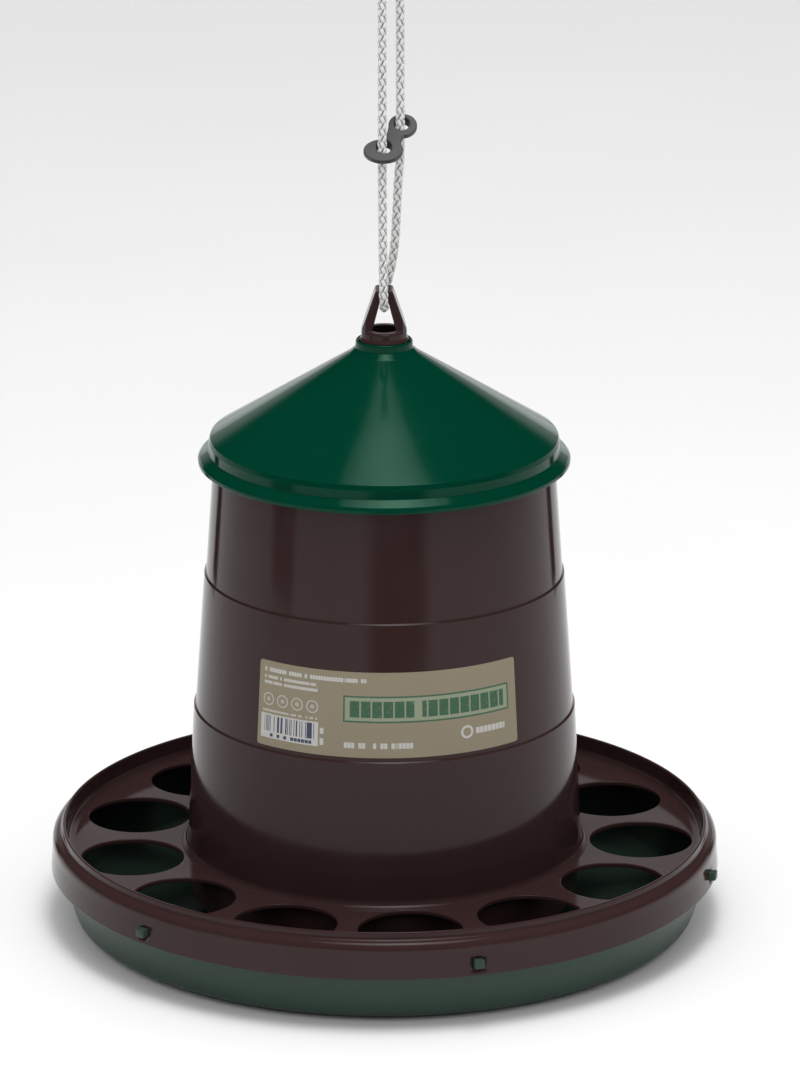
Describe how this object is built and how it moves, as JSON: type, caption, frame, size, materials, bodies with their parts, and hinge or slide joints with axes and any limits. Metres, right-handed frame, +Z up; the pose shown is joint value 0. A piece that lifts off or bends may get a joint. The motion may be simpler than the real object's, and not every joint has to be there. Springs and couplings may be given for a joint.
{
  "type": "gravity poultry feeder",
  "caption": "Hanging gravity feeder for poultry: tapered hopper with a loose conical lid, a ring of round feeding holes over a pan, and a rope hanger.",
  "frame": {"origin": "the inside top of the rope's loop, where a hook or nail holds the feeder, on the feeder's axis", "axes": "+Z up along the feeder's axis; -Y is the front, which carries the label; +X is to the right seen from the front"},
  "size_m": [0.36, 0.36, 0.587],
  "materials": {
    "brown_plastic": "glossy moulded polypropylene, chocolate brown",
    "lid_green": "glossy moulded polypropylene, bottle green",
    "pan_green": "satin moulded polypropylene, grey-green",
    "adjuster_grey": "satin moulded plastic, dark grey",
    "rope": "white braided polypropylene cord",
    "label_paper": "printed kraft-coloured sticker"
  },
  "bodies": {
    "body": {"feeding_ring": "brown_plastic", "hopper": "brown_plastic", "label": "label_paper", "hanger_spider": "brown_plastic", "hanger": "brown_plastic", "rope": "rope", "rope_loop": "rope", "rope_knot": "rope"},
    "lid": {"lid": "lid_green"},
    "pan": {"pan": "pan_green"},
    "adjuster": {"rope_adjuster": "adjuster_grey"}
  },
  "joints": [
    {"name": "lid_lift", "type": "slide", "parent": "body", "child": "lid", "axis": [0, 0, 1], "range_m": [0, 0.075]},
    {"name": "pan_drop", "type": "slide", "parent": "body", "child": "pan", "axis": [0, 0, -1], "range_m": [0, 0.066]},
    {"name": "adjuster_slide", "type": "slide", "parent": "body", "child": "adjuster", "axis": [0, 0, 1], "range_m": [-0.012, 0.045]}
  ]
}
